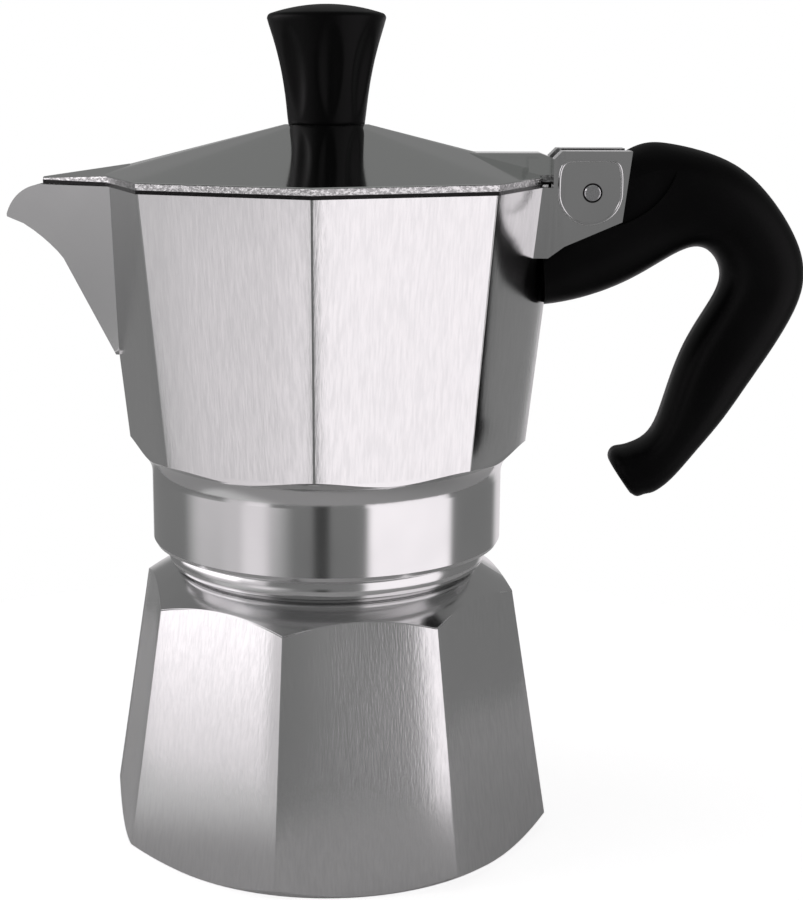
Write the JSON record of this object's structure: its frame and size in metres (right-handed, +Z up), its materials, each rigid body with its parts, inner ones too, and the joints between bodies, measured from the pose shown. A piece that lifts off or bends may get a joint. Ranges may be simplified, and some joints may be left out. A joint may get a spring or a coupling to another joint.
{
  "type": "stovetop moka pot",
  "caption": "Octagonal cast stovetop coffee maker: screw-on collector with keel spout, hinged peaked lid, flared knob and looped handle over a tapered boiler.",
  "frame": {"origin": "centre of the boiler's flat base, on the surface that it stands on", "axes": "+Z up along the pot's axis, +X towards the handle, -X towards the spout"},
  "size_m": [0.1534, 0.09, 0.1617],
  "materials": {
    "cast_body": "brushed satin",
    "cast_lid": "polished satin",
    "spun_sheet": "spun satin",
    "valve_brass": "machined",
    "spring_steel": "drawn",
    "seal": "matt silicone",
    "black_plastic": "moulded satin"
  },
  "bodies": {
    "base": {"boiler": "cast_body", "safety_valve_body": "valve_brass", "safety_valve_retainer": "valve_brass", "safety_valve_spring": "spring_steel"},
    "plunger": {"safety_valve_plunger": "valve_brass"},
    "filter_funnel": {"funnel": "spun_sheet", "funnel_sieve": "spun_sheet"},
    "upper": {"collector": "cast_body", "coffee_column": "spun_sheet", "gasket": "seal", "filter_plate": "spun_sheet", "hinge_pin": "spring_steel", "handle": "black_plastic", "handle_screw": "spring_steel"},
    "cover": {"lid": "cast_lid", "lid_knob": "black_plastic", "knob_screw": "spring_steel"}
  },
  "joints": [
    {"name": "unscrew", "type": "hinge", "parent": "base", "child": "filter_funnel", "pos_m": [0, 0, 0.06], "axis": [0, 0, 1], "range_deg": [0, 900]},
    {"name": "thread_rise", "type": "slide", "parent": "filter_funnel", "child": "upper", "axis": [0, 0, 1], "range_m": [0, 0.0075]},
    {"name": "lid_hinge", "type": "hinge", "parent": "upper", "child": "cover", "pos_m": [0.0499, 0, 0.1272], "axis": [0, 1, 0], "range_deg": [0, 93]},
    {"name": "valve_lift", "type": "slide", "parent": "base", "child": "plunger", "axis": [-0.2309, 0.9616, 0.1487], "range_m": [0, 0.0012], "stiffness_N_per_m": 4000, "deforming": ["safety_valve_spring"]}
  ],
  "couplings": [
    {"joint": "thread_rise", "follows": "unscrew", "m_per_rad": 0.00047746}
  ]
}
